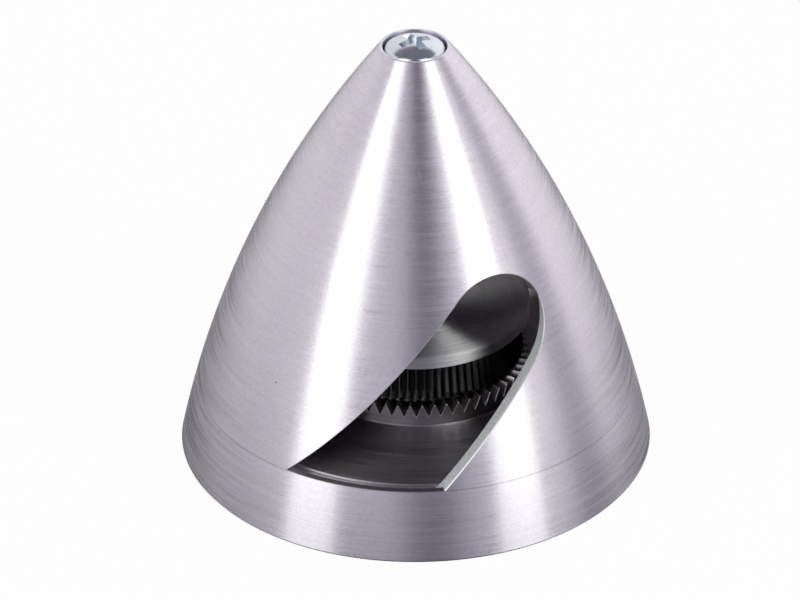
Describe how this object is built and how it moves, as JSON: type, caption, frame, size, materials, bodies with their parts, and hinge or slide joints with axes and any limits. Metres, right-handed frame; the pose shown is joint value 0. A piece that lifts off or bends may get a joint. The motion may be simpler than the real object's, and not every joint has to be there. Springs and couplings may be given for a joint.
{
  "type": "propeller spinner",
  "caption": "Pointed turned-metal propeller spinner on a recessed backplate with a serrated drive face, slanted open blade slots and a nose screw",
  "frame": {"origin": "on the turning axis, in the plane of the rear rim", "axes": "+Z is the turning axis and points forwards out of the nose; the blade slots face -Y and +Y, each turned about 10 degrees round the axis"},
  "size_m": [0.0598, 0.0598, 0.0572],
  "materials": {
    "cone_aluminium": "fine turned",
    "backplate_aluminium": "fine turned",
    "nut_aluminium": "turned",
    "plated_steel": "bright zinc plated"
  },
  "bodies": {
    "root": {"spinner_cone": "cone_aluminium", "backplate": "backplate_aluminium", "propeller_nut": "nut_aluminium", "nose_screw": "plated_steel"}
  },
  "joints": []
}
